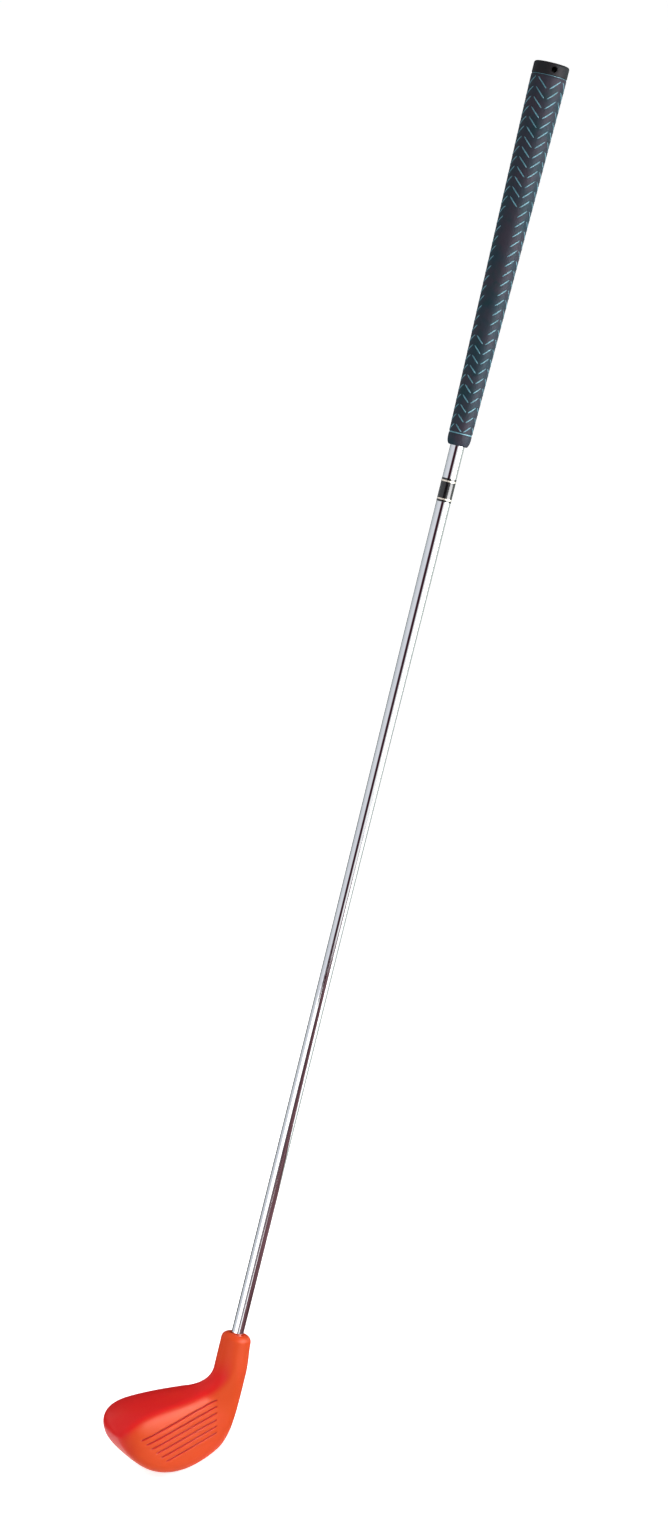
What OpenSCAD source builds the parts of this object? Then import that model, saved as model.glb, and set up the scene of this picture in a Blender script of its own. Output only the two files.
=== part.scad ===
// Golf swing trainer stick: a hollow moulded wood-shaped head on a tapered tube
// shaft with a rubber grip. Units are millimetres.
// +X runs from toe to heel, +Y runs from the face to the back, +Z is up.
// The origin lies on the flat under the sole, in the plane of the shaft's axis.

/* [Stance] */
// Angle between the shaft and the ground, in degrees.
lie = 59; // [50:0.5:70]
// Lean of the face away from vertical, in degrees.
loft = 12; // [0:0.5:30]
// X where the shaft's axis meets the ground.
axis_x = 12.6; // [0:0.05:25]
// Length along the shaft's axis from the ground to the end of the grip.
overall = 986.5; // [700:0.1:1200]

/* [Head outline] */
// X of the outermost point of the toe.
toe_x = -50.4; // [-80:0.1:-30]
// Height of the outermost point of the toe.
toe_z = 39.6; // [20:0.1:50]
// Y of the outermost point of the toe.
toe_y = 2.6; // [-8:0.1:20]
// Height of the crown above the ground, at its highest.
crown_z = 53; // [35:0.1:70]
// Height of the crown where the hosel starts to rise.
heel_z = 44.5; // [30:0.5:60]
// Depth below the ground of the untrimmed sole curve.
sole_drop = 2.1; // [0:0.1:4]
// Y of the face before it is leaned back.
face_y = -12.1; // [-25:0.1:-5]
// Y of the back of the head at its widest.
back_y = 67.9; // [40:0.1:90]
// Y of the back of the head where the hosel starts to rise.
heel_back_y = 31; // [15:0.1:50]
// Height on the face about which it leans back.
loft_z = 17.9; // [5:0.1:40]

/* [Head shape] */
// Wall thickness of the hollow head.
wall = 3.5; // [2:0.1:6]
// Height of the face's widest line at the heel.
waist_heel_z = 25.7; // [10:0.1:35]
// Height of the face's widest line at mid head.
waist_mid_z = 19.3; // [10:0.1:35]
// Y where the crown is highest at mid head.
ridge_y = -1.3; // [-9:0.1:20]
// Squareness of the edge between face and crown.
square_face_top = 4.4; // [2:0.1:8]
// Squareness of the edge between crown and back.
square_back_top = 2.4; // [2:0.1:4]
// Squareness of the edge between back and sole.
square_back_sole = 1.9; // [1.5:0.05:4]
// Squareness of the edge between face and sole.
square_face_sole = 2.5; // [2:0.1:6]
// Fullness of the crown line towards the toe.
full_crown = 4.1; // [2:0.1:6]
// Fullness of the sole line towards the toe.
full_sole = 3; // [2:0.1:6]
// Fullness of the face line towards the toe.
full_face = 8; // [2:0.1:12]
// Fullness of the back line towards the toe.
full_back = 3.1; // [2:0.1:6]
// Sharpness of the corner between heel and sole.
heel_corner = 5.6; // [3:0.1:12]

/* [Hosel] */
// Fillet radius between the crown and the hosel.
bend_r = 19.8; // [10:0.1:30]
// Hosel radius where it leaves the bend.
hosel_r = 10.4; // [8:0.1:14]
// Distance from the shaft's axis to the heel side of the hosel.
heel_offset = 12.7; // [9:0.1:18]
// Hosel radius at its rim.
rim_r = 10.5; // [8:0.1:14]
// Length along the axis from the ground to the hosel's rim.
rim_t = 84.1; // [70:0.1:110]
// Rounding of the hosel's rim.
rim_round = 4.6; // [1:0.1:5]
// Radius of the socket that the shaft is bonded into.
socket_r = 4.5; // [4:0.05:6]
// Depth of the cone that leads into the socket.
lead_in = 2; // [0:0.1:4]

/* [Score lines] */
// Number of score lines on the face.
line_count = 6; // [3:1:9]
// Height of the top score line.
line_top_z = 37.3; // [25:0.1:45]
// Height from one score line to the next.
line_pitch = 4.25; // [3:0.05:6]
// Height of one score line.
line_w = 1.1; // [0.6:0.1:2]
// Depth of one score line.
line_depth = 0.6; // [0.3:0.1:1.5]
// X of the toe end of the top score line.
line_toe_x = -40.4; // [-50:0.1:-20]
// Shift of the toe end from one score line to the next.
line_toe_step = 2.35; // [0:0.05:5]
// X of the heel end of the top score line.
line_heel_x = 24.1; // [10:0.1:35]
// Shift of the heel end from one score line to the next.
line_heel_step = -1.7; // [-4:0.1:0]

/* [Head weight] */
// Radius of the steel slug inside the head.
weight_r = 13; // [6:0.5:16]
// Height of the steel slug.
weight_h = 14; // [4:0.5:20]
// X of the slug's centre.
weight_x = -9; // [-20:0.5:10]
// Y of the slug's centre.
weight_y = 19; // [5:0.5:30]
// Height of the moulded seat under the slug.
seat_z = 8; // [5:0.5:12]

/* [Shaft] */
// Outer radius of the shaft at its tip.
tip_r = 4.25; // [3.5:0.05:6]
// Outer radius of the shaft at its butt.
butt_r = 5; // [4:0.05:8]
// Wall thickness of the shaft tube.
tube_wall = 0.6; // [0.4:0.05:1.5]
// Length along the axis from the ground to the shaft's tip.
tip_t = 29; // [20:0.5:50]
// Length along the axis from the ground to the start of the taper.
taper_low_t = 388; // [100:1:500]
// Length along the axis from the ground to the end of the taper.
taper_high_t = 638; // [400:1:700]
// Length of the plug in the shaft's tip.
plug_h = 12; // [5:0.5:30]

/* [Shaft band] */
// Thickness of the band wrapped round the shaft.
band_skin = 0.15; // [0.1:0.05:0.5]
// Length of the band.
band_h = 16.5; // [10:0.5:30]
// Gap from the band to the mouth of the grip.
band_gap = 23; // [10:0.5:40]

/* [Grip] */
// Length of the grip with its cap.
grip_h = 265.5; // [230:0.5:300]
// Outer radius of the grip near the butt.
grip_r = 12.3; // [11:0.1:16]
// Outer radius of the grip near its mouth.
mouth_r = 8.1; // [7:0.05:11]
// Radius of the lip at the mouth.
lip_r = 6; // [5.6:0.1:8]
// Length of the rounded lip at the mouth.
lip_h = 6; // [2:0.5:10]
// Length of the parallel part below the butt.
straight_h = 12; // [10:1:120]
// Distance from the mouth to the ring groove.
ring_t = 8.5; // [7:0.5:20]
// Depth of the ring groove.
ring_depth = 0.5; // [0.2:0.1:1]
// Thickness of the tape under the grip.
tape_skin = 0.3; // [0.1:0.05:0.6]
// Height of the hard cap at the butt.
cap_h = 8.8; // [6:0.1:12]
// Rounding of the cap's top edge.
cap_round = 1.6; // [0.5:0.1:3]
// Radius of the lanyard hole through the cap.
lanyard_r = 1.9; // [1:0.1:2.5]
// Distance from the butt to the lanyard hole.
lanyard_drop = 4.3; // [3:0.1:5]
// Turn of the lanyard hole about the shaft, in degrees.
lanyard_turn = -26.6; // [-90:0.1:90]

/* [Hidden] */
$fn = 96;
eps = 0.01;
ring_points = 40;
body_steps = 16;
bend_steps = 10;
rim_steps = 4;
cavity_steps = 3;
corners = [square_face_top, square_back_top, square_back_sole, square_face_sole];
cavity_corners = [2.4, 2.1, square_back_sole, 2.4];
crown_blend = 1.04;
back_blend = 0.93;
waist_blend = 0.5;
// Centre of the bend between crown and hosel, and its reach to axis and heel.
axis_reach = bend_r + hosel_r;
heel_reach = axis_reach + heel_offset;
bend_z = heel_z + bend_r;
bend_t = (bend_z - axis_reach * cos(lie)) / sin(lie);
bend_x = axis_x + bend_t * cos(lie) - axis_reach * sin(lie);
mouth_t = overall - grip_h;
cap_t = overall - cap_h;
tape_r = butt_r + tape_skin;

function mix(a, b, t) = a + (b - a) * t;
function part_of(t) = max(0, min(1, t));
function smooth(t) = let (u = part_of(t)) u * u * (3 - 2 * u);
function ease(t) = 1 - pow(1 - part_of(t), 2);
function fall(w, power) = sqrt(max(0, 1 - pow(w, power)));
function soft_min(a, b) = pow(pow(a, -heel_corner) + pow(b, -heel_corner), -1 / heel_corner);

// One cross section: [origin x, origin z, tilt, top, bottom, front, back,
// middle y, middle z, squareness of the four corners, share of the loft, how
// upright the back stays].
// w is 1 at the toe and 0 where the bend starts; g is the inset of the skin and
// corners the squareness of its four corners.
function body_section(w, g, corners) =
    let (
        x = mix(bend_x, toe_x + g, w),
        heel = (heel_reach + (bend_x - x) * sin(lie)) / cos(lie),
        under = bend_z - soft_min(bend_z + sole_drop, heel) + g,
        over = mix(heel_z, crown_z, smooth(w / crown_blend)) - g,
        behind = mix(heel_back_y, back_y, ease(w / back_blend)) - g,
        ridge = mix(0, ridge_y, smooth(w / waist_blend)),
        waist = mix(waist_heel_z, waist_mid_z, smooth(w / waist_blend)))
    [x, 0, 0,
     mix(toe_z, over, fall(w, full_crown)),
     mix(toe_z, under, fall(w, full_sole)),
     mix(toe_y, face_y + g, fall(w, full_face)),
     mix(toe_y, behind, fall(w, full_back)),
     mix(toe_y, ridge, fall(w, full_face)),
     mix(toe_z, waist, fall(w, full_sole)),
     corners, 1, fall(w, full_back)];

// v is 0 where the bend starts and 1 where the straight hosel starts.
function bend_section(v, g, corners) =
    let (
        e = smooth(v),
        reach = soft_min((bend_z + sole_drop) / cos(v * lie), heel_reach / cos((1 - v) * lie)))
    [bend_x, bend_z, v * lie,
     -bend_r - g,
     -reach + g,
     mix(face_y, -heel_offset, e) + g,
     mix(heel_back_y, hosel_r, ease(v)) - g,
     0,
     mix(waist_heel_z - bend_z, -axis_reach, e),
     [for (n = corners) mix(n, 2, e)],
     1 - e, 1];

// Round hosel section at length t along the axis, shrunk by cut at the rim.
function hosel_section(t, cut) =
    let (
        v = (t - bend_t) / (rim_t - bend_t),
        r = mix(hosel_r, rim_r, v) - cut,
        heel = mix(heel_offset, rim_r, smooth(v)) - cut)
    [bend_x + (t - bend_t) * cos(lie), bend_z + (t - bend_t) * sin(lie), lie,
     -axis_reach + r, -axis_reach - heel, -heel, r, 0, -axis_reach, [2, 2, 2, 2], 0, 1];

function section_point(s, turn) =
    let (
        c = cos(turn),
        k = sin(turn),
        n = s[9][floor(turn / 90)],
        out = pow(abs(c), 2 / n),
        up = pow(abs(k), 2 / n),
        z = k > 0 ? mix(s[8], s[3], up) : mix(s[8], s[4], up),
        y = c > 0 ? mix(s[7], s[5], out) : mix(s[7], s[6], out),
        lean = tan(loft) * (z + s[1] - loft_z) * s[10] * (c > 0 ? 1 : 1 - out * s[11]))
    [s[0] - z * sin(s[2]), y + lean, s[1] + z * cos(s[2])];

// The same point measured from the shaft's axis, where every rim point has one height.
function from_axis(p) =
    let (x = p[0] - axis_x)
    [x * sin(lie) - p[2] * cos(lie), p[1], x * cos(lie) + p[2] * sin(lie)];

function toe_sections(g, corners) =
    [for (i = [1:body_steps - 1]) body_section(cos(90 * i / body_steps), g, corners)];

// Closed skin from the toe point, inset by g, through sections to a flat end.
module skin(sections, g) {
    count = len(sections);
    m = ring_points;
    points = concat(
        [for (s = sections) for (j = [0:m - 1]) from_axis(section_point(s, 360 * j / m))],
        [from_axis([toe_x + g, toe_y + tan(loft) * (toe_z - loft_z), toe_z])]);
    walls = [
        for (i = [0:count - 2]) for (j = [0:m - 1])
            let (a = i * m + j, b = i * m + (j + 1) % m)
            each [[a, b, b + m], [a, b + m, a + m]]];
    toe_fan = [for (j = [0:m - 1]) [count * m, (j + 1) % m, j]];
    end = [[for (j = [0:m - 1]) (count - 1) * m + j]];
    on_axis()
        polyhedron(points = points, faces = concat(walls, toe_fan, end), convexity = 6);
}

// Outside of the head and hosel, sunk by g everywhere but at the rim.
module head_outside(g) {
    sections = concat(
        toe_sections(g, corners),
        [for (i = [0:bend_steps]) bend_section(i / bend_steps, g, corners)],
        [for (i = [0:rim_steps])
            let (a = 90 * i / rim_steps)
            hosel_section(rim_t - rim_round * (1 - sin(a)), rim_round * (1 - cos(a)) + g)]);
    skin(sections, g);
}

// Hollow inside the head, closed by a flat end below the hosel.
module head_cavity() {
    sections = concat(
        toe_sections(wall, cavity_corners),
        [for (i = [0:cavity_steps]) bend_section(i / bend_steps, wall, cavity_corners)]);
    skin(sections, wall);
}

// Puts what is drawn along Z onto the shaft's axis.
module on_axis() {
    translate([axis_x, 0, 0])
        rotate([0, 90 - lie, 0])
            children();
}

// Tube on the axis from t0 to t1 with the given radii at both ends.
module tube(t0, t1, outer, inner) {
    on_axis()
        translate([0, 0, t0])
            difference() {
                cylinder(h = t1 - t0, r = outer);
                translate([0, 0, -eps])
                    cylinder(h = t1 - t0 + 2 * eps, r = inner);
            }
}

module weight_seat() {
    translate([weight_x, weight_y, -sole_drop])
        cylinder(h = seat_z + sole_drop, r = weight_r + 2);
}

module score_lines() {
    difference() {
        for (i = [0:line_count - 1]) {
            toe_end = line_toe_x + i * line_toe_step;
            heel_end = line_heel_x + i * line_heel_step;
            translate([toe_end, face_y - 20, line_top_z - i * line_pitch - line_w / 2])
                cube([heel_end - toe_end, 28, line_w]);
        }
        head_outside(line_depth);
    }
}

module socket() {
    on_axis() {
        translate([0, 0, tip_t - 8])
            cylinder(h = rim_t - tip_t + 8, r = socket_r);
        translate([0, 0, rim_t - lead_in])
            cylinder(h = 2 * lead_in, r1 = socket_r, r2 = socket_r + lead_in);
    }
}

// The whole moulding is kept as one faceted skin at its own size.
module head_shell() {
    color([0.92, 0.30, 0.16])
        resize([0, 0, 0])
            difference() {
                head_outside(0);
                difference() {
                    head_cavity();
                    weight_seat();
                }
                socket();
                score_lines();
                translate([-100, -100, -20])
                    cube([200, 250, 20]);
            }
}

module head_weight() {
    color([0.45, 0.46, 0.48])
        translate([weight_x, weight_y, seat_z])
            cylinder(h = weight_h, r = weight_r);
}

module bond_sleeve() {
    color([0.75, 0.72, 0.60])
        tube(tip_t + 6, rim_t - lead_in, socket_r, tip_r);
}

module shaft() {
    butt_t = cap_t;
    color([0.82, 0.83, 0.85])
        on_axis()
            rotate_extrude()
                polygon([
                    [tip_r - tube_wall, tip_t], [tip_r, tip_t],
                    [tip_r, taper_low_t], [butt_r, taper_high_t],
                    [butt_r, butt_t], [butt_r - tube_wall, butt_t],
                    [butt_r - tube_wall, taper_high_t], [tip_r - tube_wall, taper_low_t]]);
}

module tip_plug() {
    color([0.20, 0.20, 0.20])
        on_axis()
            translate([0, 0, tip_t])
                cylinder(h = plug_h, r = tip_r - tube_wall);
}

module shaft_band() {
    top_t = mouth_t - band_gap;
    color([0.10, 0.10, 0.10])
        tube(top_t - band_h, top_t, butt_r + band_skin, butt_r);
}

module grip_tape() {
    color([0.86, 0.84, 0.78])
        tube(mouth_t + 2, cap_t, tape_r, butt_r);
}

module grip_sleeve() {
    color([0.20, 0.20, 0.22])
        on_axis()
            rotate_extrude()
                polygon([
                    [butt_r + eps, mouth_t], [lip_r, mouth_t],
                    [mix(lip_r, mouth_r, 0.55), mouth_t + lip_h * 0.15],
                    [mix(lip_r, mouth_r, 0.87), mouth_t + lip_h * 0.5],
                    [mouth_r, mouth_t + lip_h],
                    [mouth_r, mouth_t + ring_t - ring_depth],
                    [mouth_r - ring_depth, mouth_t + ring_t],
                    [mouth_r, mouth_t + ring_t + ring_depth],
                    [grip_r, overall - straight_h],
                    [grip_r, cap_t - ring_depth], [grip_r - ring_depth, cap_t],
                    [tape_r, cap_t], [tape_r, mouth_t + 2],
                    [butt_r + eps, mouth_t + 2]]);
}

module grip_cap() {
    color([0.17, 0.17, 0.19])
        on_axis()
            difference() {
                rotate_extrude()
                    intersection() {
                        translate([0, cap_t])
                            square([grip_r, cap_h]);
                        union() {
                            translate([0, cap_t + ring_depth])
                                square([grip_r, cap_h - ring_depth - cap_round]);
                            translate([0, cap_t])
                                square([grip_r - ring_depth, cap_h - cap_round]);
                            square([grip_r - cap_round, overall]);
                            translate([grip_r - cap_round, overall - cap_round])
                                circle(r = cap_round);
                        }
                    }
                translate([0, 0, overall - lanyard_drop])
                    rotate([90, 0, lanyard_turn])
                        cylinder(h = 3 * grip_r, r = lanyard_r, center = true);
            }
}

head_shell();
head_weight();
bond_sleeve();
shaft();
tip_plug();
shaft_band();
grip_tape();
grip_sleeve();
grip_cap();
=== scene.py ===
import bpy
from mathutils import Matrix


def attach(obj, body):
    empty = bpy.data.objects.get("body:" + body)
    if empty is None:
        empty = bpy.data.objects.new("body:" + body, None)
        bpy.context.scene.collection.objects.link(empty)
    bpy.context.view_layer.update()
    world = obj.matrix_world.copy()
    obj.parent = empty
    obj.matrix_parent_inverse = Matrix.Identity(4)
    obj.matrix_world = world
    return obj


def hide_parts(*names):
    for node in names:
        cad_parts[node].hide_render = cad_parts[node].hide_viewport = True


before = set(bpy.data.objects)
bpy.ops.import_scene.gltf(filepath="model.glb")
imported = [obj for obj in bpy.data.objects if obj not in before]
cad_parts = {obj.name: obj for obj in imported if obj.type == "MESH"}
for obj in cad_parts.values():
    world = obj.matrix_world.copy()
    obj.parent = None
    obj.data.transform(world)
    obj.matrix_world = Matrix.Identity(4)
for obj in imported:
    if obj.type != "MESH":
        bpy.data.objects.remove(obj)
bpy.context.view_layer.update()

import math

import bmesh
import bpy
import numpy as np
from mathutils import Matrix, Vector

MM = 0.001
TAU = 2 * math.pi

# ---------------------------------------------------------------- dimensions
# Millimetres, the same values as the CAD model's.
LIE = math.radians(59)
AXIS_X = 12.6
OVERALL = 986.5
RIM_T = 84.1
TIP_T = 29.0
TAPER_LOW_T, TAPER_HIGH_T = 388.0, 638.0
TIP_R, BUTT_R, TUBE_WALL = 4.25, 5.0, 0.6
GRIP_H, GRIP_R, MOUTH_R, LIP_R, LIP_H = 265.5, 12.3, 8.1, 6.0, 6.0
STRAIGHT_H, RING_T, CAP_H = 12.0, 8.5, 8.8
TAPE_R = 5.3
BAND_H, BAND_GAP, BAND_SKIN = 16.5, 23.0, 0.15
LANYARD_R, LANYARD_DROP, LANYARD_TURN = 1.9, 4.3, math.radians(-26.6)
MOUTH_T, CAP_T = OVERALL - GRIP_H, OVERALL - CAP_H

# The shaft's axis and two directions square to it.
ALONG = np.array([math.cos(LIE), 0, math.sin(LIE)])
ACROSS = np.array([math.sin(LIE), 0, -math.cos(LIE)])
BACKWARD = np.array([0, 1.0, 0])
FOOT = np.array([AXIS_X, 0, 0])


def on_axis(t, r=0.0, turn=0.0):
    """Points in mm at length t along the shaft's axis, r away from it."""
    t, r, turn = np.broadcast_arrays(np.asarray(t, float), r, turn)
    return (FOOT + t[..., None] * ALONG + (r * np.cos(turn))[..., None] * ACROSS
            + (r * np.sin(turn))[..., None] * BACKWARD)


# ---------------------------------------------------------------- mesh helpers
def make_mesh(name, points_mm, faces, smooth=True):
    mesh = bpy.data.meshes.new(name)
    mesh.from_pydata([tuple(p) for p in np.asarray(points_mm) * MM], [], faces)
    mesh.validate()
    mesh.update()
    if smooth:
        mesh.polygons.foreach_set("use_smooth", [True] * len(mesh.polygons))
    obj = bpy.data.objects.new(name, mesh)
    bpy.context.scene.collection.objects.link(obj)
    return obj


def grid_faces(rows, cols, closed_rows=False):
    """Quads between rings of cols points. With closed_rows the last ring joins the first."""
    faces = []
    for i in range(rows if closed_rows else rows - 1):
        a, b = i * cols, ((i + 1) % rows) * cols
        for j in range(cols):
            k = (j + 1) % cols
            faces.append((a + j, a + k, b + k, b + j))
    return faces


def end_faces(rows, cols):
    """The two faces that close a tube of rings at its ends."""
    last = (rows - 1) * cols
    return [tuple(range(cols)), tuple(last + j for j in range(cols))]


def outward(obj):
    """Turns every face of a closed mesh outward."""
    bm = bmesh.new()
    bm.from_mesh(obj.data)
    bmesh.ops.recalc_face_normals(bm, faces=bm.faces)
    bm.to_mesh(obj.data)
    bm.free()
    obj.data.update()


def sharpen(obj, degrees):
    obj.data.set_sharp_from_angle(angle=math.radians(degrees))


def spin(profile, count):
    """Rings of count points round the shaft's axis, one for each (t, r) point."""
    profile = np.asarray(profile, float)
    turn = np.arange(count) * TAU / count
    return on_axis(profile[:, :1], profile[:, 1:], turn[None, :]).reshape(-1, 3)


def revolve(name, profile, count, crease):
    """A solid ring about the shaft's axis. Its outline is the closed loop of (t, r) points."""
    obj = make_mesh(name, spin(profile, count), grid_faces(len(profile), count, closed_rows=True))
    outward(obj)
    sharpen(obj, crease)
    return obj


def finish_piece(obj, slot, material, *nodes):
    obj.data.materials.clear()
    obj.data.materials.append(material)
    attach(obj, "root")
    if nodes:
        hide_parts(*nodes)


def arc(t0, r0, radius, start, end, steps):
    """(t, r) points of an arc about (t0, r0); angles in degrees, 0 is +t and 90 is +r."""
    return [(t0 + radius * math.cos(a), r0 + radius * math.sin(a))
            for a in np.radians(np.linspace(start, end, steps + 1))]


# ---------------------------------------------------------------- node helpers
class Nodes:
    """Short calls that add nodes to a tree. Noise is laid out by place, a socket of coordinates."""

    def __init__(self, tree):
        self.tree = tree
        self.tree.nodes.clear()
        self.place = None

    def add(self, kind, **values):
        node = self.tree.nodes.new(kind)
        for key, value in values.items():
            setattr(node, key, value)
        return node

    def link(self, source, target):
        self.tree.links.new(source, target)

    def feed(self, socket, value):
        if isinstance(value, bpy.types.NodeSocket):
            self.link(value, socket)
        else:
            socket.default_value = value

    def noise(self, scale, detail=2.0, rough=0.5, vector=None, distortion=0.0):
        node = self.add("ShaderNodeTexNoise")
        self.feed(node.inputs["Vector"], self.place if vector is None else vector)
        node.inputs["Scale"].default_value = scale
        node.inputs["Detail"].default_value = detail
        node.inputs["Roughness"].default_value = rough
        node.inputs["Distortion"].default_value = distortion
        return node.outputs["Fac"]

    def math(self, kind, a, b=0.0, clamp=False):
        node = self.add("ShaderNodeMath", operation=kind, use_clamp=clamp)
        self.feed(node.inputs[0], a)
        self.feed(node.inputs[1], b)
        return node.outputs[0]

    def remap(self, value, low, high, to_low=0.0, to_high=1.0, smooth=False):
        node = self.add("ShaderNodeMapRange")
        if smooth:
            node.interpolation_type = "SMOOTHSTEP"
        self.feed(node.inputs["Value"], value)
        for key, number in (("From Min", low), ("From Max", high), ("To Min", to_low), ("To Max", to_high)):
            node.inputs[key].default_value = number
        return node.outputs[0]

    def mix(self, factor, a, b):
        node = self.add("ShaderNodeMix", data_type="RGBA")
        self.feed(node.inputs["Factor"], factor)
        for socket, value in ((node.inputs[6], a), (node.inputs[7], b)):
            if isinstance(value, bpy.types.NodeSocket):
                self.link(value, socket)
            else:
                socket.default_value = (*value, 1.0)
        return node.outputs[2]

    def dot(self, vector, direction):
        node = self.add("ShaderNodeVectorMath", operation="DOT_PRODUCT")
        self.link(vector, node.inputs[0])
        node.inputs[1].default_value = direction
        return node.outputs["Value"]

    def bump(self, height, strength, distance, under=None):
        node = self.add("ShaderNodeBump")
        node.inputs["Strength"].default_value = strength
        node.inputs["Distance"].default_value = distance
        self.feed(node.inputs["Height"], height)
        if under is not None:
            self.link(under, node.inputs["Normal"])
        return node.outputs[0]


class Surface(Nodes):
    """A material with one Principled shader."""

    SOCKETS = {"color": "Base Color", "rough": "Roughness", "metal": "Metallic", "normal": "Normal",
               "coat": "Coat Weight", "coat_rough": "Coat Roughness", "specular": "Specular IOR Level",
               "subsurface": "Subsurface Weight", "sss_scale": "Subsurface Scale",
               "glow": "Emission Color", "glow_strength": "Emission Strength"}

    def __init__(self, name):
        self.material = bpy.data.materials.new(name)
        self.material.use_nodes = True
        super().__init__(self.material.node_tree)
        out = self.add("ShaderNodeOutputMaterial")
        self.shader = self.add("ShaderNodeBsdfPrincipled")
        self.link(self.shader.outputs[0], out.inputs["Surface"])
        self.place = self.add("ShaderNodeTexCoord").outputs["Object"]

    def set(self, **values):
        for key, value in values.items():
            if key in ("color", "glow") and not isinstance(value, bpy.types.NodeSocket):
                value = (*value, 1.0)
            self.feed(self.shader.inputs[self.SOCKETS[key]], value)
        return self.material


# ---------------------------------------------------------------- materials
def head_plastic():
    n = Surface("head_plastic")
    normal = n.add("ShaderNodeNewGeometry").outputs["Normal"]
    # Painted shade: surfaces facing up, over the crown, go deeper red; face and hosel stay more orange.
    painted_crown_shade = n.remap(n.dot(normal, (-0.42, 0.42, 0.80)), -0.14, 0.56, smooth=True)
    cloud = n.noise(38.0, 4.0, 0.55)
    shift = n.remap(cloud, 0.35, 0.65, -0.08, 0.08)
    below_hosel = n.remap(n.dot(n.place, (0, 0, 1)), 0.048, 0.066, 1.0, 0.15, smooth=True)
    tone = n.math("ADD", n.math("MULTIPLY", painted_crown_shade, below_hosel), shift, clamp=True)
    color = n.mix(tone, (0.76, 0.076, 0.012), (0.78, 0.013, 0.012))
    # Painted shade: the score lines are darkened, more where a point was pressed deeper into its groove.
    score = n.add("ShaderNodeAttribute", attribute_name="score").outputs["Fac"]
    color = n.mix(n.math("MULTIPLY", score, 0.9), color, (0.38, 0.020, 0.010))
    # Pale scuffs gather under the sole.
    scuff = n.remap(n.noise(210.0, 5.0, 0.7, distortion=0.6), 0.62, 0.80)
    low = n.remap(n.dot(n.place, (0, 0, 1)), 0.0, 0.012, 0.55, 0.06)
    wear = n.math("MULTIPLY", scuff, low)
    color = n.mix(wear, color, (0.80, 0.22, 0.15))
    rough = n.math("ADD", n.remap(cloud, 0.3, 0.7, 0.36, 0.46), n.math("MULTIPLY", wear, 0.3))
    grain = n.bump(n.noise(900.0, 3.0, 0.6), 0.10, 0.00012)
    swell = n.bump(n.noise(60.0, 2.0), 0.16, 0.0006, grain)
    return n.set(color=color, rough=rough, normal=swell, specular=0.20, subsurface=0.05,
                 sss_scale=0.003)


def chrome():
    n = Surface("shaft_chrome")
    # Fine polishing lines, drawn out along the tube.
    streak = n.add("ShaderNodeMapping")
    n.link(n.place, streak.inputs["Vector"])
    streak.inputs["Rotation"].default_value = (0, LIE - math.pi / 2, 0)
    streak.inputs["Scale"].default_value = (1.0, 1.0, 0.02)
    lines = n.noise(900.0, 3.0, 0.6, vector=streak.outputs[0])
    smudge = n.noise(28.0, 4.0, 0.6)
    rough = n.math("ADD", n.remap(lines, 0.3, 0.7, 0.045, 0.075), n.remap(smudge, 0.5, 0.75, 0.0, 0.05))
    color = n.mix(n.remap(smudge, 0.4, 0.7), (0.84, 0.85, 0.87), (0.78, 0.79, 0.82))
    return n.set(color=color, metal=1.0, rough=rough, normal=n.bump(lines, 0.03, 0.00005))


def band_film(name, color, metal, rough):
    n = Surface(name)
    speck = n.noise(500.0, 3.0, 0.6)
    paler = tuple(min(1, c * 1.35 + 0.004) for c in color)
    tint = n.mix(n.remap(speck, 0.4, 0.65), color, paler)
    return n.set(color=tint, metal=metal, rough=n.remap(speck, 0.3, 0.7, rough, rough + 0.1),
                 normal=n.bump(speck, 0.04, 0.00005), specular=0.4, coat=0.7, coat_rough=0.06)


def rubber(name, base, tints, rough):
    n = Surface(name)
    broad = n.noise(55.0, 3.0, 0.55)
    other = n.noise(120.0, 2.0, 0.5, distortion=0.4)
    color = n.mix(n.remap(broad, 0.38, 0.62), base, tints[0])
    color = n.mix(n.remap(other, 0.52, 0.75, 0.0, 0.6), color, tints[1])
    grain = n.noise(2600.0, 3.0, 0.7)
    fine = n.bump(grain, 0.35, 0.00012)
    worn = n.bump(n.noise(320.0, 3.0, 0.55), 0.22, 0.0003, fine)
    return n.set(color=color, rough=n.remap(grain, 0.3, 0.7, rough - 0.06, rough + 0.08), normal=worn,
                 specular=0.10)


def dash_paint():
    n = Surface("grip_dashes")
    patch = n.noise(160.0, 4.0, 0.6)
    color = n.mix(n.remap(patch, 0.38, 0.66), (0.13, 0.32, 0.40), (0.07, 0.22, 0.27))
    fine = n.noise(1800.0, 2.0, 0.6)
    return n.set(color=color, rough=n.remap(fine, 0.3, 0.7, 0.38, 0.55), normal=n.bump(fine, 0.2, 0.0001))


def plain(name, color, dark, scale, rough, metal=0.0, bump=0.2):
    n = Surface(name)
    broad = n.noise(scale, 4.0, 0.6)
    fine = n.noise(scale * 9, 3.0, 0.65)
    tone = n.mix(n.remap(broad, 0.35, 0.65), color, dark)
    return n.set(color=tone, metal=metal, rough=n.remap(fine, 0.3, 0.7, rough - 0.08, rough + 0.1),
                 normal=n.bump(fine, bump, 0.0002))


# ---------------------------------------------------------------- head
# One skin from the toe, through the body and a bend, into the hosel. These are
# the CAD model's own sections, drawn finely and with the score lines pressed in.
HEAD = dict(toe_x=-50.4, toe_z=39.6, toe_y=2.6, crown_z=53.0, heel_z=44.5, sole_drop=2.1, face_y=-12.1,
            back_y=67.9, heel_back_y=31.0, loft=math.radians(12), loft_z=17.9, waist_heel_z=25.7,
            waist_mid_z=19.3, ridge_y=-1.3, corners=(4.4, 2.4, 1.9, 2.5), full_crown=4.1, full_sole=3.0,
            full_face=8.0, full_back=3.1, heel_corner=5.6, bend_r=19.8, hosel_r=10.4, heel_offset=12.7,
            rim_r=10.5, rim_round=4.6, crown_blend=1.04, back_blend=0.93, waist_blend=0.5)
SOCKET_R, LEAD_IN = 4.5, 2.0
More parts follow.
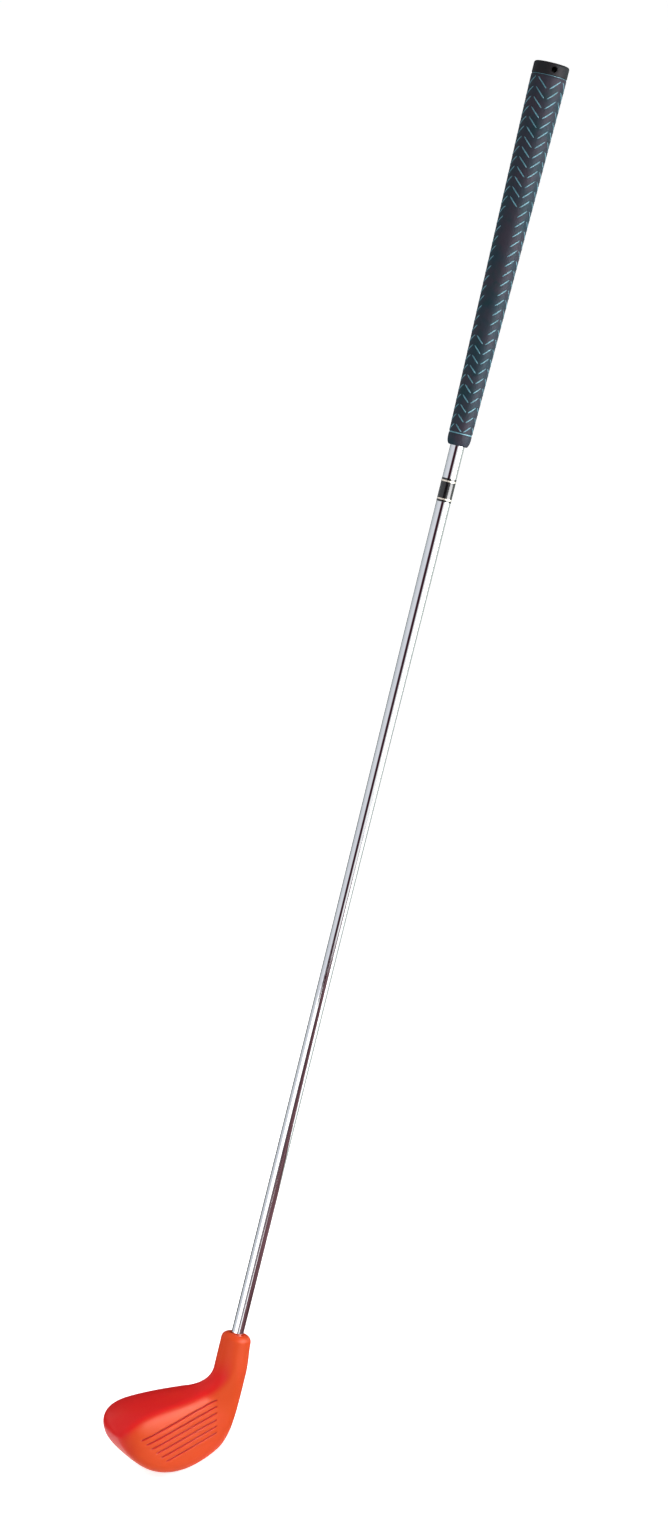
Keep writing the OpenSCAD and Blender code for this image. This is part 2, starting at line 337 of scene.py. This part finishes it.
# The score lines: their places on the face, how far they fade at each end, and the
# depth of skin that counts as the face. They are wider and deeper than the CAD's.
LINES = dict(count=6, top_z=37.3, pitch=4.25, width=1.6, depth=0.75, toe_x=-40.4, toe_step=2.35,
             heel_x=24.1, heel_step=-1.7, toe_fade=2.2, heel_fade=1.1, fullness=0.8, skin=3.5, skin_fade=2.0)
# Points in each quarter of a section, and samples that they are spaced by.
QUARTERS = (200, 64, 64, 170)
SAMPLES = 400
# Sections along the body, the bend, the hosel and the rim's round.
BODY_STEPS, BEND_STEPS, HOSEL_STEPS, RIM_STEPS = 120, 54, 16, 12


def mix(a, b, t):
    return a + (b - a) * t


def smooth(t):
    u = np.clip(t, 0, 1)
    return u * u * (3 - 2 * u)


def ease(t):
    return 1 - (1 - min(max(t, 0), 1)) ** 2


def fall(w, power):
    return math.sqrt(max(0.0, 1 - w ** power))


def head_sections(h):
    """Sections as (x, z, tilt, top, bottom, front, back, mid y, mid z, corners, loft share, back lean)."""
    cos_l, sin_l = math.cos(LIE), math.sin(LIE)
    reach = h["bend_r"] + h["hosel_r"]
    heel_reach = reach + h["heel_offset"]
    bend_z = h["heel_z"] + h["bend_r"]
    bend_t = (bend_z - reach * cos_l) / sin_l
    bend_x = AXIS_X + bend_t * cos_l - reach * sin_l
    power = -h["heel_corner"]

    def soft_min(a, b):
        return (a ** power + b ** power) ** (1 / power)

    out = []
    for i in range(1, BODY_STEPS):
        w = math.cos(math.pi / 2 * i / BODY_STEPS)
        x = mix(bend_x, h["toe_x"], w)
        under = bend_z - soft_min(bend_z + h["sole_drop"], (heel_reach + (bend_x - x) * sin_l) / cos_l)
        over = mix(h["heel_z"], h["crown_z"], smooth(w / h["crown_blend"]))
        behind = mix(h["heel_back_y"], h["back_y"], ease(w / h["back_blend"]))
        ridge = mix(0, h["ridge_y"], smooth(w / h["waist_blend"]))
        waist = mix(h["waist_heel_z"], h["waist_mid_z"], smooth(w / h["waist_blend"]))
        out.append((x, 0, 0, mix(h["toe_z"], over, fall(w, h["full_crown"])),
                    mix(h["toe_z"], under, fall(w, h["full_sole"])),
                    mix(h["toe_y"], h["face_y"], fall(w, h["full_face"])),
                    mix(h["toe_y"], behind, fall(w, h["full_back"])),
                    mix(h["toe_y"], ridge, fall(w, h["full_face"])),
                    mix(h["toe_z"], waist, fall(w, h["full_sole"])),
                    h["corners"], 1.0, fall(w, h["full_back"])))
    for i in range(BEND_STEPS + 1):
        v = i / BEND_STEPS
        e = float(smooth(v))
        tilt = v * LIE
        far = soft_min((bend_z + h["sole_drop"]) / math.cos(tilt), heel_reach / math.cos(LIE - tilt))
        out.append((bend_x, bend_z, tilt, -h["bend_r"], -far, mix(h["face_y"], -h["heel_offset"], e),
                    mix(h["heel_back_y"], h["hosel_r"], ease(v)), 0.0,
                    mix(h["waist_heel_z"] - bend_z, -reach, e), tuple(mix(n, 2, e) for n in h["corners"]),
                    1 - e, 1.0))

    def round_section(t, radius, heel):
        x, z = bend_x + (t - bend_t) * cos_l, bend_z + (t - bend_t) * sin_l
        return (x, z, LIE, -reach + radius, -reach - heel, -heel, radius, 0.0, -reach, (2,) * 4, 0.0, 1.0)

    round_t = RIM_T - h["rim_round"]
    for t in np.linspace(bend_t, round_t, HOSEL_STEPS + 1)[1:]:
        v = (t - bend_t) / (RIM_T - bend_t)
        out.append(round_section(t, mix(h["hosel_r"], h["rim_r"], v),
                                 mix(h["heel_offset"], h["rim_r"], float(smooth(v)))))
    base = (round_t - bend_t) / (RIM_T - bend_t)
    side = mix(h["hosel_r"], h["rim_r"], base)
    heel = mix(h["heel_offset"], h["rim_r"], float(smooth(base)))
    for a in np.linspace(0, math.pi / 2, RIM_STEPS + 1)[1:]:
        cut, t = h["rim_round"] * (1 - math.cos(a)), round_t + h["rim_round"] * math.sin(a)
        out.append(round_section(t, side - cut, mix(heel, side, math.sin(a)) - cut))
    # Down into the recess round the shaft.
    lip = SOCKET_R + LEAD_IN / 2
    recess = ((0, lip + 0.25), (0.15, lip), (LEAD_IN, SOCKET_R + 0.06), (LEAD_IN + 0.4, SOCKET_R),
              (9, SOCKET_R))
    for depth, radius in recess:
        out.append(round_section(RIM_T - depth, radius, radius))
    return out


def section_points(s, h):
    """Points of one section, spaced evenly within each quarter, from the face round over the crown."""
    x, z0, tilt, top, bottom, front, back, mid_y, mid_z, corners, share, upright = s
    rows = []
    for quarter in range(4):
        u = np.linspace(0, 1, SAMPLES)
        turn = math.pi / 2 * u ** 3 / (u ** 3 + (1 - u) ** 3)
        a, b = np.cos(turn), np.sin(turn)
        if quarter % 2:
            a, b = b, a
        out, up = a ** (2 / corners[quarter]), b ** (2 / corners[quarter])
        y = mix(mid_y, front if quarter in (0, 3) else back, out)
        z = mix(mid_z, top if quarter in (0, 1) else bottom, up)
        lean = 1.0 if quarter in (0, 3) else 1 - out * upright
        y = y + math.tan(h["loft"]) * (z + z0 - h["loft_z"]) * share * lean
        step = np.concatenate([[0], np.cumsum(np.hypot(np.diff(y), np.diff(z)) + 1e-9)])
        want = np.linspace(0, step[-1], QUARTERS[quarter] + 1)[:-1]
        y, z = np.interp(want, step, y), np.interp(want, step, z)
        rows.append(np.stack([x - z * math.sin(tilt), y, z0 + z * math.cos(tilt)], 1))
    return np.concatenate(rows)


def press_score_lines(points, h):
    """Moves the points of the face back into soft grooves, and says how far each one went."""
    x, y, z = points[:, 0], points[:, 1], points[:, 2]
    face = h["face_y"] + math.tan(h["loft"]) * (z - h["loft_z"])
    on_face = 1 - smooth((y - face - LINES["skin"]) / LINES["skin_fade"])
    push = np.zeros(len(points))
    for i in range(LINES["count"]):
        level = LINES["top_z"] - i * LINES["pitch"]
        toe = LINES["toe_x"] + i * LINES["toe_step"]
        heel = LINES["heel_x"] + i * LINES["heel_step"]
        across = np.clip(np.abs(z - level) / (LINES["width"] / 2), 0, 1)
        ends = smooth((x - toe) / LINES["toe_fade"]) * smooth((heel - x) / LINES["heel_fade"])
        groove = (0.5 + 0.5 * np.cos(math.pi * across)) ** LINES["fullness"]
        push = np.maximum(push, groove * ends)
    push *= on_face
    points[:, 1] += push * LINES["depth"]
    return points, push


def build_head():
    h = HEAD
    sections = head_sections(h)
    rings = np.stack([section_points(s, h) for s in sections])
    rows, cols = rings.shape[:2]
    points, score = press_score_lines(rings.reshape(-1, 3), h)
    points[:, 2] = np.maximum(points[:, 2], 0.0)
    toe = (h["toe_x"], h["toe_y"] + math.tan(h["loft"]) * (h["toe_z"] - h["loft_z"]), h["toe_z"])
    points = np.concatenate([points, [toe]])
    faces = grid_faces(rows, cols)
    faces += [(rows * cols, (j + 1) % cols, j) for j in range(cols)]
    faces.append(tuple((rows - 1) * cols + j for j in range(cols)))
    head = make_mesh("head_moulding", points, faces)
    layer = head.data.attributes.new("score", "FLOAT", "POINT")
    layer.data.foreach_set("value", np.append(score, 0.0))
    outward(head)
    sharpen(head, 50)
    return head


# ---------------------------------------------------------------- shaft and band
# Points round the tube, the band and the painted lines.
TUBE_COUNT = 128


def shaft_radius(t):
    return float(np.interp(t, [TIP_T, TAPER_LOW_T, TAPER_HIGH_T, CAP_T], [TIP_R, TIP_R, BUTT_R, BUTT_R]))


def build_shaft():
    """A tube with a long taper. Rings stand closer together at the taper's ends."""
    close = 8
    stops = np.concatenate([np.linspace(TIP_T, TAPER_LOW_T - close, 24),
                            np.linspace(TAPER_LOW_T, TAPER_HIGH_T, 20),
                            np.linspace(TAPER_HIGH_T + close, CAP_T, 20)])
    outside = [(t, shaft_radius(t)) for t in stops]
    inside = [(t, r - TUBE_WALL) for t, r in reversed(outside)]
    return revolve("shaft_tube", outside + inside, TUBE_COUNT, crease=40)


def build_band():
    """A film sleeve with two gold lines, each standing a hair proud of it."""
    top = MOUTH_T - BAND_GAP
    base = top - BAND_H
    skin, gold, edge = BUTT_R + 0.12, BUTT_R + BAND_SKIN, 0.12
    foot, bevel = BUTT_R + 0.01, 0.05
    # How far a line's two edges lie from the end of the band.
    near, far = 1.45, 2.5
    lines = [(base + near, base + far), (top - far, top - near)]
    profile = [(base, foot), (base + bevel, skin)]
    for low, high in lines:
        profile += [(low - edge, skin), (low, gold), (high, gold), (high + edge, skin)]
    profile += [(top - bevel, skin), (top, foot), (mix(base, top, 0.5), BUTT_R)]
    return revolve("band_film", profile, TUBE_COUNT, crease=30), lines


def paint_band(band, lines, black, gold):
    """Black film all over, and gold on the outside faces of the two lines."""
    outside = BUTT_R + 0.06
    finish_piece(band, "band_film", black, "shaft_band")
    band.data.materials.append(gold)
    for face in band.data.polygons:
        middle = np.mean([band.data.vertices[i].co for i in face.vertices], axis=0) / MM
        t = float((middle - FOOT) @ ALONG)
        r = float(np.linalg.norm(middle - on_axis(t)))
        if r > outside and any(low < t < high for low, high in lines):
            face.material_index = 1


# ---------------------------------------------------------------- grip
# Points round the sleeve, the cap and the lanyard hole.
GRIP_COUNT, CAP_COUNT, HOLE_COUNT = 160, 192, 56
# The ring groove as (distance past its middle, depth), and half of the seam's
# groove as (distance from the seam, depth).
RING_GROOVE = ((-0.75, 0.0), (-0.45, 0.35), (0.0, 0.5), (0.45, 0.35), (0.75, -0.01))
SEAM_GROOVE = ((0.55, 0.06), (0.15, 0.4), (0.0, 0.8))


def grip_radius(t):
    return float(np.interp(t, [MOUTH_T + LIP_H, MOUTH_T + RING_T + 0.5, OVERALL - STRAIGHT_H, CAP_T],
                           [MOUTH_R, MOUTH_R, GRIP_R, GRIP_R]))


def build_grip_sleeve():
    lip = []
    for a in np.linspace(0, math.pi / 2, 9):
        lip.append((MOUTH_T + LIP_H * (1 - math.cos(a)), LIP_R + (MOUTH_R - LIP_R) * math.sin(a)))
    ring = MOUTH_T + RING_T
    groove = [(ring + past, MOUTH_R - depth) for past, depth in RING_GROOVE]
    body = [(t, grip_radius(t)) for t in np.linspace(ring + 1.5, CAP_T - 1.2, 90)]
    top = [(CAP_T - away, GRIP_R - depth) for away, depth in SEAM_GROOVE] + [(CAP_T, TAPE_R)]
    # Inside, the bore lies on the tape and narrows to the shaft just within the mouth.
    tape_low, shaft_bore = MOUTH_T + 2, BUTT_R + 0.02
    bore = [(mix(CAP_T, tape_low, k), TAPE_R) for k in (0.33, 0.66)]
    bore += [(tape_low, TAPE_R), (MOUTH_T + 1.8, shaft_bore), (MOUTH_T, shaft_bore)]
    return revolve("grip_rubber", lip + groove + body + top + bore, GRIP_COUNT, crease=38)


def hole_cutter():
    """A cylinder along the lanyard hole, flared towards its ends to soften the hole's rim."""
    middle = on_axis(OVERALL - LANYARD_DROP)
    aim = math.sin(LANYARD_TURN) * ACROSS - math.cos(LANYARD_TURN) * BACKWARD
    side = np.cross(aim, ALONG)
    flare = ((20, 0.9), (12.6, 0.6), (11.9, 0.15), (11.0, 0.0))
    stations = [(-d, LANYARD_R + more) for d, more in flare]
    stations += [(d, LANYARD_R + more) for d, more in reversed(flare)]
    turn = np.arange(HOLE_COUNT) * TAU / HOLE_COUNT
    ring = np.cos(turn)[:, None] * ALONG + np.sin(turn)[:, None] * side
    points = np.concatenate([middle + d * aim + r * ring for d, r in stations])
    faces = grid_faces(len(stations), HOLE_COUNT) + end_faces(len(stations), HOLE_COUNT)
    cutter = make_mesh("hole_cutter", points, faces)
    outward(cutter)
    return cutter


def cut_away(obj, cutter):
    """Takes the cutter's shape out of obj, and removes the cutter."""
    step = obj.modifiers.new("hole", "BOOLEAN")
    step.operation, step.solver, step.object = "DIFFERENCE", "EXACT", cutter
    bpy.context.view_layer.update()
    done = bpy.data.meshes.new_from_object(obj.evaluated_get(bpy.context.evaluated_depsgraph_get()))
    obj.modifiers.clear()
    obj.data = done
    bpy.data.objects.remove(cutter)
    done.polygons.foreach_set("use_smooth", [True] * len(done.polygons))


def build_cap():
    """The end cap: half of the seam's groove, a straight wall, a rounded edge and a top dished by 0.05 mm."""
    edge, dish_t = 1.6, OVERALL - 0.05
    profile = [(CAP_T + away, GRIP_R - depth) for away, depth in reversed(SEAM_GROOVE)]
    profile += [(CAP_T + 1.0, GRIP_R)]
    profile += [(t, GRIP_R) for t in np.linspace(CAP_T + 1.6, OVERALL - edge, 8)]
    profile += arc(OVERALL - edge, GRIP_R - edge, edge, 90, 0, 10)[1:]
    profile += [(dish_t, GRIP_R * share) for share in (0.62, 0.3)]
    rings = spin(profile, CAP_COUNT)
    points = np.concatenate([rings, on_axis([CAP_T, dish_t])])
    low, high, last = len(rings), len(rings) + 1, len(rings) - CAP_COUNT
    faces = grid_faces(len(profile), CAP_COUNT)
    faces += [(low, (j + 1) % CAP_COUNT, j) for j in range(CAP_COUNT)]
    faces += [(high, last + j, last + (j + 1) % CAP_COUNT) for j in range(CAP_COUNT)]
    cap = make_mesh("grip_end_cap", points, faces)
    outward(cap)
    cut_away(cap, hole_cutter())
    sharpen(cap, 32)
    return cap


# The dashes stand in columns round the grip, every other one slanting the other way.
COLUMNS, DASHES = 8, 36
DASH_PITCH = 6.83
DASH_TOP = OVERALL - 14.5
DASH_TURN = math.radians(-123.0 + 22.5)
DASH_HALF_TURN = math.radians(17.0)
DASH_LEAN = 0.94
DASH_HALF_WIDTH = 0.50
DASH_STEPS = 9
# A dash's own section: (share of its half width, height over the rubber).
DASH_SECTION = ((-1.0, -0.25), (-0.8, 0.05), (-0.35, 0.14), (0.35, 0.14), (0.8, 0.05), (1.0, -0.25))
# One column is left plain over this stretch.
PLAIN_COLUMN = 7
PLAIN = (797.0, 887.0)


def dash(center_t, center_turn, slant):
    """One rounded rib on the grip: a closed solid, most of it sunk in the rubber."""
    radius = grip_radius(center_t)
    reach = DASH_HALF_TURN * radius
    rise = slant * reach * DASH_LEAN
    length = 2 * math.hypot(rise, reach)
    across_t, across_u = 2 * reach / length, -2 * rise / length
    rows = []
    for k in np.linspace(-1, 1, DASH_STEPS):
        taper = max(0.12, 1 - abs(k) ** 5) ** 0.5
        t, turn = center_t + k * rise, center_turn + k * DASH_HALF_TURN
        for share, height in DASH_SECTION:
            off_t = t + share * DASH_HALF_WIDTH * taper * across_t
            off_turn = turn + share * DASH_HALF_WIDTH * taper * across_u / radius
            rows.append(on_axis(off_t, grip_radius(off_t) + height, off_turn))
    cols = len(DASH_SECTION)
    return np.asarray(rows), grid_faces(DASH_STEPS, cols) + end_faces(DASH_STEPS, cols)


def build_dashes():
    points, faces, base = [], [], 0
    for column in range(COLUMNS):
        slant = 1 if column % 2 == 0 else -1
        turn = DASH_TURN + column * TAU / COLUMNS
        for row in range(DASHES):
            center = DASH_TOP - row * DASH_PITCH
            if column == PLAIN_COLUMN and PLAIN[0] < center < PLAIN[1]:
                continue
            dash_points, dash_faces = dash(center, turn, slant)
            points.append(dash_points)
            faces += [tuple(i + base for i in face) for face in dash_faces]
            base += len(dash_points)
    dashes = make_mesh("grip_dashes", np.concatenate(points), faces)
    outward(dashes)
    return dashes


def build_ring(name, t, radius, half):
    """A painted line lying in a groove."""
    inside = radius - 0.3
    profile = [(t - half, inside), (t - half, radius), (t + half, radius), (t + half, inside)]
    return revolve(name, profile, TUBE_COUNT, crease=30)


# ---------------------------------------------------------------- camera
# Where it stands, in metres, and the way it looks, in degrees: its heading clockwise
# from +Y, how far it dips below level, and how far it is rolled.
EYE = (-0.98815, -2.04469, 1.45461)
HEADING, DIP, ROLL = 30.869, 22.989, 12.486


def build_camera():
    data = bpy.data.cameras.new("camera")
    data.sensor_width = 36.0
    data.lens = 89.94
    data.clip_start, data.clip_end = 0.05, 200.0
    camera = bpy.data.objects.new("camera", data)
    bpy.context.scene.collection.objects.link(camera)
    turns = ((-HEADING, "Z"), (90 - DIP, "X"), (-ROLL, "Z"))
    heading, dip, roll = (Matrix.Rotation(math.radians(angle), 4, axis) for angle, axis in turns)
    camera.matrix_world = Matrix.Translation(EYE) @ heading @ dip @ roll
    bpy.context.scene.camera = camera


# ---------------------------------------------------------------- studio
# Directions round the shaft: towards the camera's side, and to its right.
TOWARD = np.array([-0.522, -0.793, 0.3136])
RIGHT = np.array([0.692, -0.590, -0.4156])


def show_to(obj, camera=False, diffuse=False, glossy=False, shadow=False):
    obj.visible_camera, obj.visible_diffuse, obj.visible_glossy = camera, diffuse, glossy
    obj.visible_transmission = obj.visible_volume_scatter = False
    obj.visible_shadow = shadow


def build_floor():
    half, under = 40.0 / MM, -0.2
    corners = [(x, y, under) for x, y in ((-half, -half), (half, -half), (half, half), (-half, half))]
    floor = make_mesh("floor", corners, [(0, 1, 2, 3)], smooth=False)
    n = Surface("floor")
    tone = n.mix(n.noise(3.0, 3.0), (0.93, 0.93, 0.93), (0.91, 0.91, 0.91))
    n.set(color=tone, rough=0.9, specular=0.0)
    # The lift brings the floor up to the backdrop's white, and adds no light to matt surfaces.
    path = n.add("ShaderNodeLightPath").outputs
    seen = n.math("ADD", path["Is Camera Ray"], path["Is Glossy Ray"], clamp=True)
    n.set(glow=(1, 1, 1), glow_strength=n.math("MULTIPLY", seen, 0.72))
    floor.data.materials.append(n.material)


def card(name, corners, color, dark=None, scale=12.0, faces=None, strength=1.0):
    """A card that shows only in reflections. It is one colour, or mottled where dark is given."""
    faces = faces or [tuple(range(len(corners)))]
    obj = make_mesh(name, np.asarray(corners, float) / MM, faces, smooth=False)
    n = Surface(name)
    tone = color if dark is None else n.mix(n.remap(n.noise(scale, 4.0, 0.6), 0.38, 0.62), color, dark)
    n.set(color=(0, 0, 0), specular=0.0, glow=tone, glow_strength=strength)
    obj.data.materials.append(n.material)
    show_to(obj, glossy=True)


def around(foot, rays, z):
    """Corners on the floor given as (direction in degrees, distance) round a foot point."""
    turned = [(math.radians(a), d) for a, d in rays]
    return [(foot[0] + d * math.cos(a), foot[1] + d * math.sin(a), z) for a, d in turned]


def build_cards():
    """Cards that the chrome mirrors: three on the floor at slightly different heights, and one upright."""
    foot = (0.07, 0.0)
    # Brown in front, for the tube's lower stretch: a mottled sheet on the floor and an upright strip.
    near = [(-95, 3.3), (-83, 2.6), (-69.6, 0.80), (-55.5, 0.48), (-40.4, 0.34), (-15, 0.26), (9.5, 0.22),
            (47, 0.30), (70, 0.2), (-150, 0.05)]
    card("card_low", around(foot, near, 0.0006), (0.27, 0.135, 0.155), (0.10, 0.045, 0.05), 9.0)
    distance = 1.2
    heights = ((-60, 0.02), (-78, 0.08), (-96, 0.27), (-118, 0.50))
    low = [around(foot, [(a, distance)], 0.0)[0] for a, _ in heights]
    high = [around(foot, [(a, distance)], z)[0] for a, z in heights]
    count = len(heights)
    strip = [(i, i + 1, i + 1 + count, i + count) for i in range(count - 1)]
    card("card_front", low + high, (0.22, 0.11, 0.125), (0.05, 0.02, 0.025), 7.0, strip)
    # Pale grey-green on the heel's side.
    side = [(-24, 0.25), (-24, 12.0), (40, 12.0), (40, 0.25)]
    card("card_side", around(foot, side, 0.0003), (0.60, 0.67, 0.62))
    # Black behind, for the tube's dark edges.
    behind = ((-6, 0.10), (0.25, 0.10), (6, 3.0), (6, 14), (-6, 14))
    card("card_behind", [(x, y, 0.0009) for x, y in behind], (0.004, 0.004, 0.004))


def facing(place, target, long_side):
    """Axes of a panel that looks at target: across it, along long_side, and away from target."""
    back = (Vector(place) - Vector(target)).normalized()
    across = Vector(long_side).cross(back).normalized()
    return across, back.cross(across), back


def area_light(name, place, target, long_side, size, radiance):
    """A rectangular softbox facing target, its second side along long_side."""
    data = bpy.data.lights.new(name, "AREA")
    data.shape = "RECTANGLE"
    data.size, data.size_y = size
    data.energy = math.pi * size[0] * size[1] * radiance
    light = bpy.data.objects.new(name, data)
    bpy.context.scene.collection.objects.link(light)
    axes = Matrix(facing(place, target, long_side)).transposed()
    light.matrix_world = Matrix.Translation(place) @ axes.to_4x4()
    light.visible_camera = False
    return light


def build_world():
    """White to the camera and soft grey to the object. In reflections it goes by the direction round
    the shaft: dark brown towards the camera, pale on both sides and black behind."""
    world = bpy.data.worlds.new("studio")
    bpy.context.scene.world = world
    world.use_nodes = True
    n = Nodes(world.node_tree)
    out = n.add("ShaderNodeOutputWorld")
    back = n.add("ShaderNodeBackground")
    n.link(back.outputs[0], out.inputs["Surface"])
    path = n.add("ShaderNodeLightPath")
    n.place = n.add("ShaderNodeTexCoord").outputs["Generated"]
    # Degrees round the shaft, 0 towards the camera and positive to the right.
    turn = n.math("ARCTAN2", n.dot(n.place, tuple(RIGHT)), n.dot(n.place, tuple(TOWARD)))
    turn = n.math("MULTIPLY", turn, 180 / math.pi)
    rise = n.remap(turn, -38.0, -30.0, smooth=True)
    drop = n.remap(turn, 2.0, 11.0, 1.0, 0.0, smooth=True)
    strip = n.math("MULTIPLY", rise, drop)
    far = n.remap(n.math("ABSOLUTE", turn), 138.0, 150.0, smooth=True)
    left = n.remap(turn, -140.0, -60.0, 0.0, 1.0, smooth=True)
    tone = n.mix(left, (0.50, 0.55, 0.57), (0.78, 0.795, 0.84))
    tone = n.mix(n.remap(turn, 6.0, 20.0), tone, (1.1, 1.08, 1.05))
    tone = n.mix(strip, tone, (0.045, 0.012, 0.020))
    tone = n.mix(far, tone, (0.01, 0.01, 0.01))
    soft = n.mix(path.outputs["Is Glossy Ray"], (0.32, 0.32, 0.33), tone)
    n.link(n.mix(path.outputs["Is Camera Ray"], soft, (1.0, 1.0, 1.0)), back.inputs["Color"])
    back.inputs["Strength"].default_value = 1.0


def build_lights():
    along = tuple(ALONG)
    place, target, size = (0.80, -0.98, 0.44), (0.25, 0.0, 0.35), (1.0, 0.85)
    key = area_light("key", place, target, along, size, radiance=5.0)
    key.visible_glossy = False
    # The key's own reflection is a brighter panel, for the highlight on film and plastic.
    across, up, _ = facing(place, target, along)
    panel = [Vector(place) + across * size[0] * a + up * size[1] * b
             for a, b in ((-0.5, -0.5), (0.5, -0.5), (0.5, 0.5), (-0.5, 0.5))]
    card("card_key", [tuple(p) for p in panel], (1.0, 1.0, 1.0), strength=12.0)
    area_light("left", place=(-0.997, -0.47, 0.489), target=(0.06, 0.0, 0.08), long_side=along,
               size=(1.1, 0.46), radiance=1.7)
    top = area_light("top", place=(-0.35, 0.35, 0.85), target=(0.0, 0.02, 0.03), long_side=(1, 0, 0),
                     size=(0.5, 0.5), radiance=4.0)
    top.visible_glossy = False


def main():
    build_camera()
    build_floor()
    build_world()
    build_cards()
    build_lights()

    head = build_head()
    finish_piece(head, "head_plastic", head_plastic(), "head_shell")
    finish_piece(build_shaft(), "shaft_chrome", chrome(), "shaft")
    black = band_film("band_black", (0.004, 0.004, 0.005), metal=0.0, rough=0.16)
    gold = band_film("band_gold", (0.90, 0.77, 0.64), metal=0.5, rough=0.22)
    paint_band(*build_band(), black, gold)
    sleeve_rubber = rubber("grip_rubber", base=(0.020, 0.040, 0.056),
                           tints=((0.042, 0.038, 0.054), (0.009, 0.042, 0.048)), rough=0.50)
    finish_piece(build_grip_sleeve(), "grip_rubber", sleeve_rubber, "grip_sleeve")
    end_rubber = rubber("cap_rubber", base=(0.013, 0.021, 0.024),
                        tints=((0.021, 0.019, 0.022), (0.006, 0.020, 0.020)), rough=0.46)
    finish_piece(build_cap(), "cap_rubber", end_rubber, "grip_cap")
    paint = dash_paint()
    finish_piece(build_dashes(), "grip_rubber", paint)
    finish_piece(build_ring("grip_line", MOUTH_T + RING_T, MOUTH_R - 0.22, 0.42), "grip_rubber", paint)
    finish_piece(build_ring("seam_line", CAP_T, GRIP_R - 0.42, 0.30), "grip_rubber", paint)

    # Parts inside the stick are shown as the CAD has them.
    hidden = {
        "head_weight": plain("slug_steel", (0.36, 0.36, 0.37), (0.26, 0.25, 0.25), 160.0, 0.45, 1.0),
        "bond_sleeve": plain("adhesive", (0.70, 0.64, 0.46), (0.58, 0.50, 0.33), 220.0, 0.35),
        "tip_plug": plain("plug_rubber", (0.03, 0.03, 0.03), (0.045, 0.043, 0.04), 240.0, 0.6),
        "grip_tape": plain("tape_paper", (0.74, 0.70, 0.60), (0.66, 0.61, 0.50), 180.0, 0.7),
    }
    for name, material in hidden.items():
        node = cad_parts[name]
        node.data.materials.clear()
        node.data.materials.append(material)

    view = bpy.context.scene.view_settings
    view.view_transform = "Standard"
    view.look = "None"


main()
bpy.context.view_layer.update()
